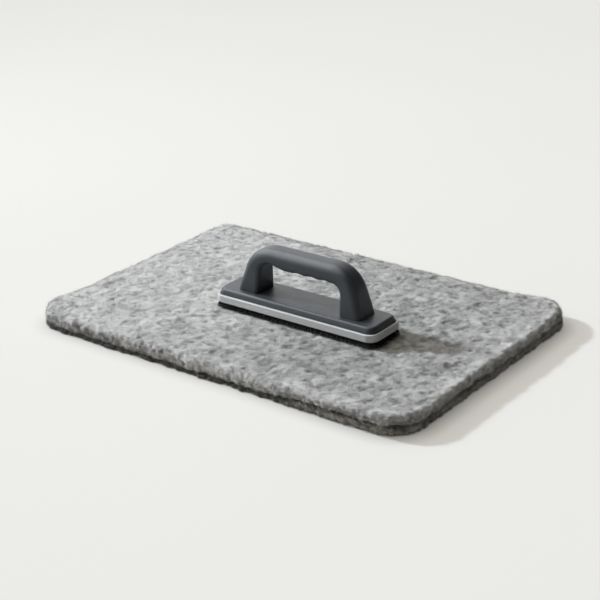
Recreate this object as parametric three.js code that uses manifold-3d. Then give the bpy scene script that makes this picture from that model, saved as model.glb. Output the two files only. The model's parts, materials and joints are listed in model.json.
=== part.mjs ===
// Wool pressing mat with the hand brush that stands on it.
//
// Millimetres, +Z up. The origin is the centre of the mat's underside and X runs along its long side.
// The mat is two felt plies bonded by an adhesive web. The brush is a D handle screwed to a base. A
// trim band sits round the base, and the bristle block is screwed up into the base through the band,
// so that the band's inner rib is clamped between block and base.

import * as THREE from 'three';
import Module from 'manifold-3d';
import { mergeGeometries, mergeVertices } from 'three/addons/utils/BufferGeometryUtils.js';

const wasm = await Module();
wasm.setup();

// The mat
const MAT_LENGTH = 457;
const MAT_WIDTH = 305;
const MAT_CORNER_RADIUS = 34;
const TOP_PLY_THICKNESS = 9.8;
const BOTTOM_PLY_THICKNESS = 9.2;
const BOTTOM_PLY_INSET = 0.5;
const WEB_THICKNESS = 0.5;
const WEB_INSET = 5;
const TOP_EDGE_RUN = 9; // how far in from its outline the mat's top starts to fall away
const SEAM_EDGE_RUN = 3.5; // the same where the plies meet
const FOOT_EDGE_RUN = 6; // the same on the table
const PLY_EDGE_SHARE = 0.46; // how far each edge falls, as a share of the ply's thickness

// Where the brush stands on the mat, and how far its tips clear the felt
const BRUSH_X = 26;
const BRUSH_Y = -25;
const BRISTLE_GAP = 0.3;

// The brush's plan and the stack from the bristle tips up to the top of the base
const BRUSH_LENGTH = 195;
const BRUSH_WIDTH = 50;
const BRUSH_CORNER_RADIUS = 10.5;
const BRISTLE_LENGTH = 6.5;
const BLOCK_RECESS = 0.4;
const BACKING_THICKNESS = 0.8;
const BLOCK_THICKNESS = 3.2;
const RIB_THICKNESS = 1.2;
const SPIGOT_DEPTH = 2;
const BASE_RISE = 6;

// Band, base and block
const BAND_WALL = 2.2;
const BAND_EDGE_RADIUS = 0.9;
const RIB_DEPTH = 2.4;
const BASE_DRAFT = 1.2;
const BASE_EDGE_RADIUS = 2.8;
const BASE_TOP_CORNER = 9;
const BASE_SKIN = 2; // left above the screw holes that end inside the base
const SIDE_CLEARANCE = 0.3;
const LEAST_CORNER = 0.5;

// Bristle tufts
const TUFT_PITCH = 5.1;
const TUFT_ROOT = 3;
const TUFT_TIP = 3.6;
const TUFT_SPLAY = 2.8; // how far the tips of the outermost tufts lean out
const TUFT_EDGE = 0.4; // from the outermost roots to the edge of the backing
const CORNER_TUFT_SHARE = 0.72; // width of the tuft in each rounded corner, as a share of the others

// Handle, seen from the side
const FOOT_SETBACK = 16.2; // from the end of the base's flat top to the foot
const FOOT_LENGTH = 25;
const FOOT_WIDTH = 29;
const FOOT_OUTER_EDGE = 6;
const FOOT_INNER_EDGE = 3.5;
const HANDLE_HEIGHT = 48.6;
const LEFT_LEAN = 18; // degrees, outer faces of the legs
const RIGHT_LEAN = 14;
const LEFT_INNER_LEAN = 6; // degrees, faces of the legs inside the finger gap
const RIGHT_INNER_LEAN = 0.5;
const LEFT_OUTER_BEND = 34;
const RIGHT_OUTER_BEND = 31;
const LEFT_INNER_BEND = 12;
const RIGHT_INNER_BEND = 10;
const NECK_THICKNESS = 15.5; // of the grip where it meets the left bend
const GRIP_THICKNESS = 18.5;
const GRIP_WIDTH = 25;
const GRIP_OUTER_EDGE = 8.5;
const GRIP_INNER_EDGE = 4.5;
const BELLY_RUN = 20; // length over which the neck swells to the full grip
const WAVE_PITCH = 16; // finger waves on the grip's underside
const WAVE_DEPTH = 1;

// Screws
const HANDLE_SCREW_DIAMETER = 3.6;
const HANDLE_SCREW_SPACING = 13;
const HANDLE_SCREW_GRIP = 12; // length inside the foot
const HANDLE_SCREW_HEAD = 7.4;
const HANDLE_SCREW_HEAD_HEIGHT = 2.2;
const BLOCK_SCREW_DIAMETER = 3;
const BLOCK_SCREW_HEAD = 6;
const BLOCK_SCREW_HEAD_HEIGHT = 1.6;
const BLOCK_SCREW_SETBACK = 9; // from the block's ends and sides
const SCREW_CLEARANCE = 0.3;
const TIP_CLEARANCE = 0.5;

// How finely round forms are divided
const MAT_CORNER_STEPS = 8;
const EDGE_STEPS = 4;
const CORNER_STEPS = 5;
const SCREW_SIDES = 12;
const LEG_STEPS = 4;
const BEND_STEPS = 10;
const GRIP_STEPS = 32;
const SECTION_STEPS = 6;

// Heights in the mat's frame
const WEB_BOTTOM = BOTTOM_PLY_THICKNESS;
const TOP_PLY_BOTTOM = WEB_BOTTOM + WEB_THICKNESS;
const MAT_TOP = TOP_PLY_BOTTOM + TOP_PLY_THICKNESS;

// Heights in the brush's frame, from the bristle tips
const BAND_BOTTOM = BRISTLE_LENGTH - BLOCK_RECESS;
const BLOCK_BOTTOM = BRISTLE_LENGTH + BACKING_THICKNESS;
const BLOCK_TOP = BLOCK_BOTTOM + BLOCK_THICKNESS;
const BASE_BOTTOM = BLOCK_TOP + RIB_THICKNESS;
const BAND_TOP = BASE_BOTTOM + SPIGOT_DEPTH;
const BASE_TOP = BAND_TOP + BASE_RISE;

// Plans that follow from the brush's own
const INNER_INSET = BAND_WALL + SIDE_CLEARANCE;
const INNER_LENGTH = BRUSH_LENGTH - 2 * INNER_INSET;
const INNER_WIDTH = BRUSH_WIDTH - 2 * INNER_INSET;
const INNER_RADIUS = Math.max(BRUSH_CORNER_RADIUS - INNER_INSET, LEAST_CORNER);
const BASE_FLAT_LENGTH = INNER_LENGTH - 2 * (BASE_DRAFT + BASE_EDGE_RADIUS);
const FOOT_X = BASE_FLAT_LENGTH / 2 - FOOT_SETBACK;
const HANDLE_SCREW_X = FOOT_X - FOOT_LENGTH / 2;
const BLOCK_SCREW_X = INNER_LENGTH / 2 - BLOCK_SCREW_SETBACK;
const BLOCK_SCREW_Y = INNER_WIDTH / 2 - BLOCK_SCREW_SETBACK;

const handleScrewPlaces = [];
for (const x of [-HANDLE_SCREW_X, HANDLE_SCREW_X]) {
  for (const y of [-HANDLE_SCREW_SPACING / 2, HANDLE_SCREW_SPACING / 2]) {
    handleScrewPlaces.push(new THREE.Vector2(x, y));
  }
}

const blockScrewPlaces = [];
for (const x of [-BLOCK_SCREW_X, 0, BLOCK_SCREW_X]) {
  for (const y of [-BLOCK_SCREW_Y, BLOCK_SCREW_Y]) {
    blockScrewPlaces.push(new THREE.Vector2(x, y));
  }
}

// Points round a rectangle with rounded corners, counterclockwise. The two corners on the -X side can
// have a radius of their own.
function roundedRectangle(length, width, rightRadius, steps, leftRadius = rightRadius) {
  const points = [];
  const corners = [
    [1, 1],
    [-1, 1],
    [-1, -1],
    [1, -1],
  ];
  corners.forEach(([sideX, sideY], quarter) => {
    const radius = sideX > 0 ? rightRadius : leftRadius;
    const centreX = sideX * (length / 2 - radius);
    const centreY = sideY * (width / 2 - radius);
    for (let i = 0; i <= steps; i += 1) {
      const angle = (quarter + i / steps) * Math.PI / 2;
      points.push(new THREE.Vector2(
        centreX + radius * Math.cos(angle),
        centreY + radius * Math.sin(angle),
      ));
    }
  });
  return points;
}

// One ring of a slab: the rounded rectangle drawn in by an inset, at a height.
function slabRing(length, width, radius, steps, [inset, z]) {
  const cornerRadius = Math.max(radius - inset, LEAST_CORNER);
  return roundedRectangle(length - 2 * inset, width - 2 * inset, cornerRadius, steps)
    .map((point) => new THREE.Vector3(point.x, point.y, z));
}

// Skin between matched rings. Open lofts get two end caps, closed ones join the last ring to the first.
function loft(rings, closed = false) {
  const count = rings[0].length;
  const indices = [];
  const spans = closed ? rings.length : rings.length - 1;
  for (let r = 0; r < spans; r += 1) {
    const low = r * count;
    const high = ((r + 1) % rings.length) * count;
    for (let i = 0; i < count; i += 1) {
      const j = (i + 1) % count;
      indices.push(low + i, low + j, high + j);
      indices.push(low + i, high + j, high + i);
    }
  }
  if (!closed) {
    const flat = convexCap(count);
    const top = (rings.length - 1) * count;
    for (const [a, b, c] of flat) {
      indices.push(a, c, b);
      indices.push(top + a, top + b, top + c);
    }
  }
  const geometry = new THREE.BufferGeometry();
  geometry.setFromPoints(rings.flat());
  geometry.setIndex(indices);
  return geometry;
}

// Triangles of a convex cap with the given number of points, as a strip from side to side.
function convexCap(count) {
  const triangles = [];
  let low = 0;
  let high = count - 1;
  while (high - low > 1) {
    triangles.push([low, low + 1, high]);
    low += 1;
    if (high - low > 1) {
      triangles.push([low, high - 1, high]);
      high -= 1;
    }
  }
  return triangles;
}

// Profile of a slab's side from its lower to its upper face, as [inset, height] pairs. Each edge is a
// quarter ellipse that runs in from the outline and falls from the face.
function roundedSide(bottom, top, fall, lowerRun, upperRun) {
  const profile = [];
  for (let i = 0; i <= EDGE_STEPS; i += 1) {
    const angle = i / EDGE_STEPS * Math.PI / 2;
    profile.push([lowerRun * (1 - Math.sin(angle)), bottom + fall * (1 - Math.cos(angle))]);
  }
  for (let i = 0; i <= EDGE_STEPS; i += 1) {
    const angle = i / EDGE_STEPS * Math.PI / 2;
    profile.push([upperRun * (1 - Math.cos(angle)), top - fall * (1 - Math.sin(angle))]);
  }
  return profile;
}

function slab(length, width, radius, profile, steps) {
  return loft(profile.map((level) => slabRing(length, width, radius, steps, level)));
}

function pillar(diameter, bottom, top, place) {
  const geometry = new THREE.CylinderGeometry(diameter / 2, diameter / 2, top - bottom, SCREW_SIDES);
  geometry.rotateX(Math.PI / 2);
  return geometry.translate(place.x, place.y, (bottom + top) / 2);
}

function toSolid(geometry) {
  const bare = geometry.clone();
  bare.deleteAttribute('normal');
  bare.deleteAttribute('uv');
  const merged = mergeVertices(bare, 1e-4);
  return new wasm.Manifold(new wasm.Mesh({
    numProp: 3,
    vertProperties: merged.attributes.position.array,
    triVerts: new Uint32Array(merged.index.array),
  }));
}

function toGeometry(solid) {
  const mesh = solid.getMesh();
  const geometry = new THREE.BufferGeometry();
  geometry.setAttribute('position', new THREE.BufferAttribute(mesh.vertProperties, 3));
  geometry.setIndex(new THREE.BufferAttribute(mesh.triVerts, 1));
  return geometry;
}

function drilled(geometry, holes) {
  return toGeometry(holes.reduce((solid, hole) => solid.subtract(toSolid(hole)), toSolid(geometry)));
}

// Felt plies and the web between them.
function feltPly(inset, thickness, bottom, lowerRun, upperRun) {
  const side = roundedSide(bottom, bottom + thickness, thickness * PLY_EDGE_SHARE, lowerRun, upperRun);
  const length = MAT_LENGTH - 2 * inset;
  const width = MAT_WIDTH - 2 * inset;
  return slab(length, width, MAT_CORNER_RADIUS - inset, side, MAT_CORNER_STEPS);
}

function adhesiveWeb() {
  const sides = [
    [WEB_INSET, WEB_BOTTOM],
    [WEB_INSET, TOP_PLY_BOTTOM],
  ];
  return slab(MAT_LENGTH, MAT_WIDTH, MAT_CORNER_RADIUS, sides, MAT_CORNER_STEPS);
}

// Trim band: one closed profile swept round the brush's plan, with the rib on its inside.
function trimBand() {
  const edge = BAND_EDGE_RADIUS;
  const profile = roundedSide(BAND_BOTTOM, BAND_TOP, edge, edge, edge);
  profile.push(
    [BAND_WALL, BAND_TOP],
    [BAND_WALL, BASE_BOTTOM],
    [BAND_WALL + RIB_DEPTH, BASE_BOTTOM],
    [BAND_WALL + RIB_DEPTH, BLOCK_TOP],
    [BAND_WALL, BLOCK_TOP],
    [BAND_WALL, BAND_BOTTOM],
  );
  const rings = profile.map((level) => (
    slabRing(BRUSH_LENGTH, BRUSH_WIDTH, BRUSH_CORNER_RADIUS, CORNER_STEPS, level)
  ));
  return loft(rings, true);
}

// Base: straight inside the band, drafted above it to a rounded rim with fuller corners. Its screw
// holes are cut from below.
function base() {
  const profile = [
    [0, BASE_BOTTOM],
    [0, BAND_TOP],
  ];
  for (let i = 0; i <= EDGE_STEPS; i += 1) {
    const angle = i / EDGE_STEPS * Math.PI / 2;
    profile.push([
      BASE_DRAFT + BASE_EDGE_RADIUS * (1 - Math.cos(angle)),
      BASE_TOP - BASE_EDGE_RADIUS * (1 - Math.sin(angle)),
    ]);
  }
  const body = loft(profile.map(([inset, z]) => {
    const rise = Math.max((z - BAND_TOP) / BASE_RISE, 0);
    const corner = THREE.MathUtils.lerp(INNER_RADIUS, BASE_TOP_CORNER, rise);
    return slabRing(INNER_LENGTH, INNER_WIDTH, corner + inset, CORNER_STEPS, [inset, z]);
  }));
  const holes = [];
  const past = SPIGOT_DEPTH;
  for (const place of handleScrewPlaces) {
    const bore = HANDLE_SCREW_DIAMETER + 2 * SCREW_CLEARANCE;
    const sink = HANDLE_SCREW_HEAD + 2 * SCREW_CLEARANCE;
    holes.push(pillar(bore, BASE_BOTTOM - past, BASE_TOP + past, place));
    holes.push(pillar(sink, BASE_BOTTOM - past, BASE_BOTTOM + HANDLE_SCREW_HEAD_HEIGHT, place));
  }
  for (const place of blockScrewPlaces) {
    const bore = BLOCK_SCREW_DIAMETER + 2 * SCREW_CLEARANCE;
    holes.push(pillar(bore, BASE_BOTTOM - past, BASE_TOP - BASE_SKIN, place));
  }
  return drilled(body, holes);
}

function bristleBlock() {
  const sides = [
    [0, BLOCK_BOTTOM],
    [0, BLOCK_TOP],
  ];
  const body = slab(INNER_LENGTH, INNER_WIDTH, INNER_RADIUS, sides, CORNER_STEPS);
  const holes = [];
  const past = BLOCK_THICKNESS;
  for (const place of blockScrewPlaces) {
    const bore = BLOCK_SCREW_DIAMETER + 2 * SCREW_CLEARANCE;
    const sink = BLOCK_SCREW_HEAD + 2 * SCREW_CLEARANCE;
    holes.push(pillar(bore, BLOCK_BOTTOM - past, BLOCK_TOP + past, place));
    holes.push(pillar(sink, BLOCK_BOTTOM - past, BLOCK_BOTTOM + BLOCK_SCREW_HEAD_HEIGHT, place));
  }
  return drilled(body, holes);
}

// One tuft: a four-sided strand from its tip up into the backing.
function tuft(x, y, leanX, leanY, share = 1) {
  const root = squareRing(x, y, TUFT_ROOT * share, BRISTLE_LENGTH + BACKING_THICKNESS / 2);
  const tip = squareRing(x + leanX, y + leanY, TUFT_TIP * share, 0);
  return loft([tip, root]);
}

function squareRing(x, y, side, z) {
  const half = side / 2;
  return [
    new THREE.Vector3(x + half, y + half, z),
    new THREE.Vector3(x - half, y + half, z),
    new THREE.Vector3(x - half, y - half, z),
    new THREE.Vector3(x + half, y - half, z),
  ];
}

// Places spread evenly and symmetrically over a length, about one pitch apart.
function evenPlaces(length, pitch) {
  const spans = Math.max(Math.round(length / pitch), 1);
  return Array.from({ length: spans + 1 }, (unused, i) => (i / spans - 0.5) * length);
}

// Bristle field: tufts on a slice of the block, with room round each screw head.
function bristles() {
  const sides = [
    [0, BRISTLE_LENGTH],
    [0, BLOCK_BOTTOM],
  ];
  const backing = slab(INNER_LENGTH, INNER_WIDTH, INNER_RADIUS, sides, CORNER_STEPS);
  const opening = BLOCK_SCREW_HEAD + 2 * SCREW_CLEARANCE;
  const past = BACKING_THICKNESS;
  const holes = blockScrewPlaces
    .map((place) => pillar(opening, BRISTLE_LENGTH - past, BLOCK_BOTTOM + past, place));
  const reachX = INNER_LENGTH / 2 - TUFT_EDGE - TUFT_ROOT / 2;
  const reachY = INNER_WIDTH / 2 - TUFT_EDGE - TUFT_ROOT / 2;
  const corner = new THREE.Vector2(INNER_LENGTH / 2 - INNER_RADIUS, INNER_WIDTH / 2 - INNER_RADIUS);
  const strands = [];
  for (const x of evenPlaces(2 * reachX, TUFT_PITCH)) {
    for (const y of evenPlaces(2 * reachY, TUFT_PITCH)) {
      const place = new THREE.Vector2(x, y);
      const clearOfScrews = blockScrewPlaces
        .every((screw) => screw.distanceTo(place) > opening / 2 + TUFT_ROOT);
      const pastCornerX = Math.max(Math.abs(x) + TUFT_ROOT / 2 - corner.x, 0);
      const pastCornerY = Math.max(Math.abs(y) + TUFT_ROOT / 2 - corner.y, 0);
      const onBacking = Math.hypot(pastCornerX, pastCornerY) < INNER_RADIUS;
      if (clearOfScrews && onBacking) {
        strands.push(tuft(x, y, TUFT_SPLAY * x / reachX, TUFT_SPLAY * y / reachY));
      }
    }
  }
  const halfDiagonal = TUFT_ROOT * CORNER_TUFT_SHARE * Math.SQRT1_2;
  const outward = (INNER_RADIUS - TUFT_EDGE - halfDiagonal) * Math.SQRT1_2;
  for (const [sideX, sideY] of [[1, 1], [-1, 1], [-1, -1], [1, -1]]) {
    const x = sideX * (corner.x + outward);
    const y = sideY * (corner.y + outward);
    const leanX = TUFT_SPLAY * x / reachX;
    const leanY = TUFT_SPLAY * y / reachY;
    strands.push(tuft(x, y, leanX, leanY, CORNER_TUFT_SHARE));
  }
  const field = toSolid(backing).add(toSolid(mergeGeometries(strands)));
  return toGeometry(holes.reduce((solid, hole) => solid.subtract(toSolid(hole)), field));
}

// One side of the handle's outline, from the foot up to where its bend meets the grip.
function legAndBend(side, footX, lean, radius, height) {
  const angle = THREE.MathUtils.degToRad(lean);
  const run = (height - radius + radius * Math.sin(angle)) / Math.cos(angle);
  const startX = footX - run * Math.sin(angle);
  const startZ = run * Math.cos(angle);
  const centreX = startX - radius * Math.cos(angle);
  const points = [];
  for (let i = 0; i < LEG_STEPS; i += 1) {
    const share = i / LEG_STEPS;
    points.push(new THREE.Vector2(
      side * THREE.MathUtils.lerp(footX, startX, share),
      startZ * share,
    ));
  }
  for (let i = 0; i <= BEND_STEPS; i += 1) {
    const turn = THREE.MathUtils.lerp(angle, Math.PI / 2, i / BEND_STEPS);
    points.push(new THREE.Vector2(
      side * (centreX + radius * Math.cos(turn)),
      height - radius + radius * Math.sin(turn),
    ));
  }
  return points;
}

// Underside of the grip between its two bends: it swells from the neck, then carries the finger waves.
function gripUnderside(from, to) {
  const bellyX = from.x + BELLY_RUN;
  const waves = Math.max(Math.floor((to.x - bellyX) / WAVE_PITCH), 0);
  const waveStart = to.x - waves * WAVE_PITCH;
  const points = [];
  for (let i = 1; i < GRIP_STEPS; i += 1) {
    const x = THREE.MathUtils.lerp(from.x, to.x, i / GRIP_STEPS);
    const swell = THREE.MathUtils.smoothstep(x, from.x, bellyX);
    let z = THREE.MathUtils.lerp(from.y, to.y, swell);
    if (x > waveStart) {
      z += WAVE_DEPTH * Math.sin((x - waveStart) / WAVE_PITCH * Math.PI) ** 2;
    }
    points.push(new THREE.Vector2(x, z));
  }
  return points;
}

// Cross-section of the handle between an outer and an inner point of its outline.
function handleSection(outer, inner) {
  const share = THREE.MathUtils.smoothstep(inner.y, 0, HANDLE_HEIGHT - GRIP_THICKNESS);
  const thickness = outer.distanceTo(inner);
  const width = THREE.MathUtils.lerp(FOOT_WIDTH, GRIP_WIDTH, share);
  const outerMost = Math.min(thickness * 0.6, width * 0.45);
  const innerMost = Math.min(thickness * 0.35, width * 0.45);
  const outerWanted = THREE.MathUtils.lerp(FOOT_OUTER_EDGE, GRIP_OUTER_EDGE, share);
  const innerWanted = THREE.MathUtils.lerp(FOOT_INNER_EDGE, GRIP_INNER_EDGE, share);
  const outerEdge = Math.min(outerWanted, outerMost);
  const innerEdge = Math.min(innerWanted, innerMost);
  const middle = outer.clone().add(inner).multiplyScalar(0.5);
  const across = outer.clone().sub(inner).divideScalar(thickness);
  const section = roundedRectangle(thickness, width, outerEdge, SECTION_STEPS, innerEdge);
  return section.map((point) => new THREE.Vector3(
    middle.x + across.x * point.x,
    point.y,
    BASE_TOP + middle.y + across.y * point.x,
  ));
}

// Handle: sections lofted from the left foot over the grip to the right foot, with screw holes.
function handle() {
  const gapX = FOOT_X - FOOT_LENGTH;
  const underNeck = HANDLE_HEIGHT - NECK_THICKNESS;
  const underGrip = HANDLE_HEIGHT - GRIP_THICKNESS;
  const outerLeft = legAndBend(-1, FOOT_X, LEFT_LEAN, LEFT_OUTER_BEND, HANDLE_HEIGHT);
  const outerRight = legAndBend(1, FOOT_X, RIGHT_LEAN, RIGHT_OUTER_BEND, HANDLE_HEIGHT);
  const innerLeft = legAndBend(-1, gapX, LEFT_INNER_LEAN, LEFT_INNER_BEND, underNeck);
  const innerRight = legAndBend(1, gapX, RIGHT_INNER_LEAN, RIGHT_INNER_BEND, underGrip);
  const topFrom = outerLeft[outerLeft.length - 1];
  const topTo = outerRight[outerRight.length - 1];
  const top = [];
  for (let i = 1; i < GRIP_STEPS; i += 1) {
    top.push(topFrom.clone().lerp(topTo, i / GRIP_STEPS));
  }
  const underside = gripUnderside(
    innerLeft[innerLeft.length - 1],
    innerRight[innerRight.length - 1],
  );
  const outer = [...outerLeft, ...top, ...outerRight.reverse()];
  const inner = [...innerLeft, ...underside, ...innerRight.reverse()];
  const body = loft(outer.map((point, i) => handleSection(point, inner[i])).reverse());
  const bore = HANDLE_SCREW_DIAMETER + 2 * SCREW_CLEARANCE;
  const holeTop = BASE_TOP + HANDLE_SCREW_GRIP + TIP_CLEARANCE;
  return drilled(body, handleScrewPlaces.map((place) => (
    pillar(bore, BASE_TOP - TIP_CLEARANCE, holeTop, place)
  )));
}

// Screw standing on its head: a pan head below, the shank above, and a blunt point.
function screw(diameter, headDiameter, headHeight, bottom, top) {
  const point = diameter / 2;
  const outline = [
    [0, bottom],
    [headDiameter * 0.36, bottom],
    [headDiameter / 2, bottom + headHeight * 0.5],
    [headDiameter / 2, bottom + headHeight],
    [diameter / 2, bottom + headHeight],
    [diameter / 2, top - point],
    [diameter / 8, top],
    [0, top],
  ];
  const points = outline.map(([x, y]) => new THREE.Vector2(x, y));
  return new THREE.LatheGeometry(points, SCREW_SIDES).rotateX(Math.PI / 2);
}

function named(name, geometry, color, roughness, metalness) {
  geometry.computeVertexNormals();
  const mesh = new THREE.Mesh(
    geometry,
    new THREE.MeshStandardMaterial({ color, roughness, metalness }),
  );
  mesh.name = name;
  return mesh;
}

const lowerPly = feltPly(BOTTOM_PLY_INSET, BOTTOM_PLY_THICKNESS, 0, FOOT_EDGE_RUN, SEAM_EDGE_RUN);
const upperPly = feltPly(0, TOP_PLY_THICKNESS, TOP_PLY_BOTTOM, SEAM_EDGE_RUN, TOP_EDGE_RUN);
const mat = new THREE.Group();
mat.add(
  named('bottom_felt', lowerPly, 0xa09e9a, 1, 0),
  named('adhesive_web', adhesiveWeb(), 0xd6d2c4, 0.7, 0),
  named('top_felt', upperPly, 0xb4b4b5, 1, 0),
);

const brush = new THREE.Group();
brush.position.set(BRUSH_X, BRUSH_Y, MAT_TOP + BRISTLE_GAP);
brush.add(
  named('bristles', bristles(), 0x17171a, 0.8, 0),
  named('bristle_block', bristleBlock(), 0x1d1e20, 0.6, 0),
  named('trim_band', trimBand(), 0xb4b6ba, 0.35, 0.6),
  named('base', base(), 0x4b4f54, 0.5, 0),
  named('handle', handle(), 0x4b4f54, 0.5, 0),
);

handleScrewPlaces.forEach((place, i) => {
  const tip = BASE_TOP + HANDLE_SCREW_GRIP;
  const geometry = screw(
    HANDLE_SCREW_DIAMETER,
    HANDLE_SCREW_HEAD,
    HANDLE_SCREW_HEAD_HEIGHT,
    BASE_BOTTOM,
    tip,
  );
  const mesh = named(`handle_screw_${i + 1}`, geometry, 0x9a9c9e, 0.4, 1);
  mesh.position.set(place.x, place.y, 0);
  brush.add(mesh);
});

blockScrewPlaces.forEach((place, i) => {
  const tip = BASE_TOP - BASE_SKIN - TIP_CLEARANCE;
  const geometry = screw(
    BLOCK_SCREW_DIAMETER,
    BLOCK_SCREW_HEAD,
    BLOCK_SCREW_HEAD_HEIGHT,
    BLOCK_BOTTOM,
    tip,
  );
  const mesh = named(`block_screw_${i + 1}`, geometry, 0x9a9c9e, 0.4, 1);
  mesh.position.set(place.x, place.y, 0);
  brush.add(mesh);
});

const group = new THREE.Group();
group.add(mat, brush);

export default group;
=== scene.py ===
"""The looks of a wool pressing mat and of the hand brush that stands on it.

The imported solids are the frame. The two felt plies and the bristles are rebuilt here as wool and
filaments, every other solid keeps its shape and gets its finish, and a pale studio stands round them.
Lengths are metres in the frame's own axes: X along the mat, Y across it, Z up.
"""

import json
import math
from dataclasses import dataclass

import bpy
import numpy as np
from mathutils import Matrix, Vector, noise
from mathutils.bvhtree import BVHTree


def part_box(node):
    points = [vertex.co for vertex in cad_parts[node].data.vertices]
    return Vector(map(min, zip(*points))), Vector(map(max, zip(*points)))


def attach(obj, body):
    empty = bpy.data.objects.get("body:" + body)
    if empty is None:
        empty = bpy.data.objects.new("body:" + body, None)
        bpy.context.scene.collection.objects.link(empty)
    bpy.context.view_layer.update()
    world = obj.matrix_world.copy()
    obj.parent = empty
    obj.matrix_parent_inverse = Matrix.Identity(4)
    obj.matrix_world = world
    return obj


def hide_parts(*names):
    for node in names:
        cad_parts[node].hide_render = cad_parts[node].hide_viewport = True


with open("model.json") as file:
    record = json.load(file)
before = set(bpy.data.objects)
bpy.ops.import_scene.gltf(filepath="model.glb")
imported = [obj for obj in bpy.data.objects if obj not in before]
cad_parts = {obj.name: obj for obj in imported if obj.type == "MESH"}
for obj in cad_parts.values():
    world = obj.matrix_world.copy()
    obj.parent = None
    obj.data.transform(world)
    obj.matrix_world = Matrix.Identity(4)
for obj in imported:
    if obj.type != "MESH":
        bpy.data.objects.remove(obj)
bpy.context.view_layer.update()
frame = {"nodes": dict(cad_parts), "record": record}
MM = 0.001

# Shape of the felt plies. Pairs of depths hold at the seam and at the mat's top. Pairs of ends are places
# along or across the mat between which a form sets in.
CORNER_RADIUS = 34 * MM
EDGE_RINGS = 7
EDGE_SQUARENESS = 0.75
RIM_RISE = 1.0 * MM
RIM_INSET = 4 * MM
RIM_WIDTH = 8 * MM
OUTLINE_WANDER = 0.9 * MM
WANDER_SIZE = 70 * MM
TABLE_GAP = 0.1 * MM
BACK_RIGHT_TUCK = (1.0 * MM, 5.0 * MM)
TUCK_REACH = 50 * MM
BACK_PULL = (0.5 * MM, 4.5 * MM)
PULL_REACH = 40 * MM
PULL_CORNER = 35 * MM
BACK_DROOP = (0.8 * MM, 2.2 * MM)
BACK_REACH = 22 * MM
LEFT_ENDS = (-0.165, -0.075)
BACK_ENDS = (0.215, 0.15)
FRONT_DROOP = (6.6 * MM, 3.8 * MM)
FRONT_SQUASH = 0.62
FRONT_TUCK = 0.8 * MM
FRONT_SWELL = 2.2 * MM
FRONT_REACH = 26 * MM
DROOP_ENDS = (0.05, 0.15)
PRESS_DEPTH = 0.45 * MM
PRESS_SLOPE = 0.4
HAIR_PRESS_SLOPE = 2.0
FLAT_FACING = 0.99
EDGE_START = 0.05
OUTLINE_EDGE = 0.5

# Relief of the wool on the plies
LUMP_SIZE = 12 * MM
TUFT_SIZE = 9 * MM
TUFT_WARP = 5 * MM
CREASE_SHARE = 0.7
CROWN_LEVEL = 0.7
PIT_SIZE = 8 * MM
PIT_RANGE = (0.1, 0.55)
NAP_SIZE = 3 * MM
NAP_RISE = 0.1 * MM
FLUFF_SIZE = 4.5 * MM
FLUFF_RISE = 1.4 * MM
DROOP_FLUFF = 0.7 * MM
FLUFF_LIFT = 2.4

# Tone of the wool, from 0 for dark to 1 for light: its own patches and streaks, with painted light and
# painted shade added. Pairs of ends are places along the mat, and pairs of facings are heights of the
# outward direction, between which a streak, painted light or painted shade sets in.
MIDDLE_TONE = 0.5
PATCH_SIZE = 20 * MM
PATCH_CONTRAST = 0.25
TOP_STREAKS = 0.12
SIDE_STREAKS = 0.3
# Painted light on the tufts' crowns and painted shade in the creases between them
CROWN_PAINTED_LIGHT_AND_SHADE = 0.1
# Painted shade in the pits between tufts
PIT_PAINTED_SHADE = 0.27
SIDE_FACING = (0.7, 0.2)
# Painted pool of light: up-facing wool lighter towards the mat's left
LEFT_PAINTED_LIGHT = 0.34
LEFT_PAINTED_LIGHT_ENDS = (0.1, -0.2)
LEFT_PAINTED_LIGHT_FACING = (0.3, 1.0)
# Painted highlight on the rim's bead, between its ends along the mat
RIM_PAINTED_HIGHLIGHT = 0.22
RIM_HIGHLIGHT_ENDS = (-0.1, 0.12)
RIM_HIGHLIGHT_FACING = (0, 0.6)
# Painted shade on the wool towards the seam between the plies
SEAM_PAINTED_SHADE = 0.5
SEAM_FACING = (-0.2, -0.9)
# Painted shade on the upper ply's sides: all round, more where the front is pressed down and towards the
# right end
SIDE_PAINTED_SHADE = 0.04
DROOP_PAINTED_SHADE = (0.22, 0.0)
DROOP_PAINTED_SHADE_ENDS = (-0.2, 0.0)
RIGHT_PAINTED_SHADE = 0.12
RIGHT_ENDS = (0.17, 0.215)
# Painted shade on the upper ply's underside
UNDERSIDE_PAINTED_SHADE = 0.3
UNDERSIDE_FACING = (0.1, -0.6)
# Painted shade on the lower ply under the pressed-down front, and painted contact shadow at its foot by the
# table
FRONT_PAINTED_SHADE = 0.5
FOOT_PAINTED_SHADE = 0.5
FOOT_HEIGHTS = (4 * MM, 0.5 * MM)

# Locks and stray hairs
LOCK_STEPS = 5
LOCK_STRANDS = 8
LOCK_LOWEST_SHARE = 0.25
LOCK_LOWEST_FACING = -0.8
EDGE_LOCKS = 1.8
LOCK_CURL = 0.35
LOCK_SPREAD = 2.6 * MM
LOCK_SKEW = 2.2 * MM
LOCK_WAVE = 0.6 * MM
LOCK_WAVES = (0.6, 1.4)
LOCK_ARCH = (0.1, 1.2)
LOCK_HANG = 0.18
LOCK_TONES = (0.07, 0.09)
STRAND_WIDTH = 0.22 * MM
STRAND_WIDTHS = (0.6, 1.2)
STRAND_END_WIDTH = 0.15
STRAND_FULLNESS = 0.7
STRAND_ROOT_DEPTH = 0.2 * MM
STRAND_ROLL = math.radians(12)
STRAND_SOFTNESS = 0.85
HAIR_WIDTH = 0.13 * MM
HAIR_TAPER = 0.7
HAIR_STEPS = 3
HAIR_LOWEST_FACING = -0.9
TOP_HAIRS = 0.25
HAIR_LEAN = 0.6
HAIR_BEND = 0.4
HAIR_TONES = (0.05, 0.17)
LARGEST_PIECE = 190_000

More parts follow.
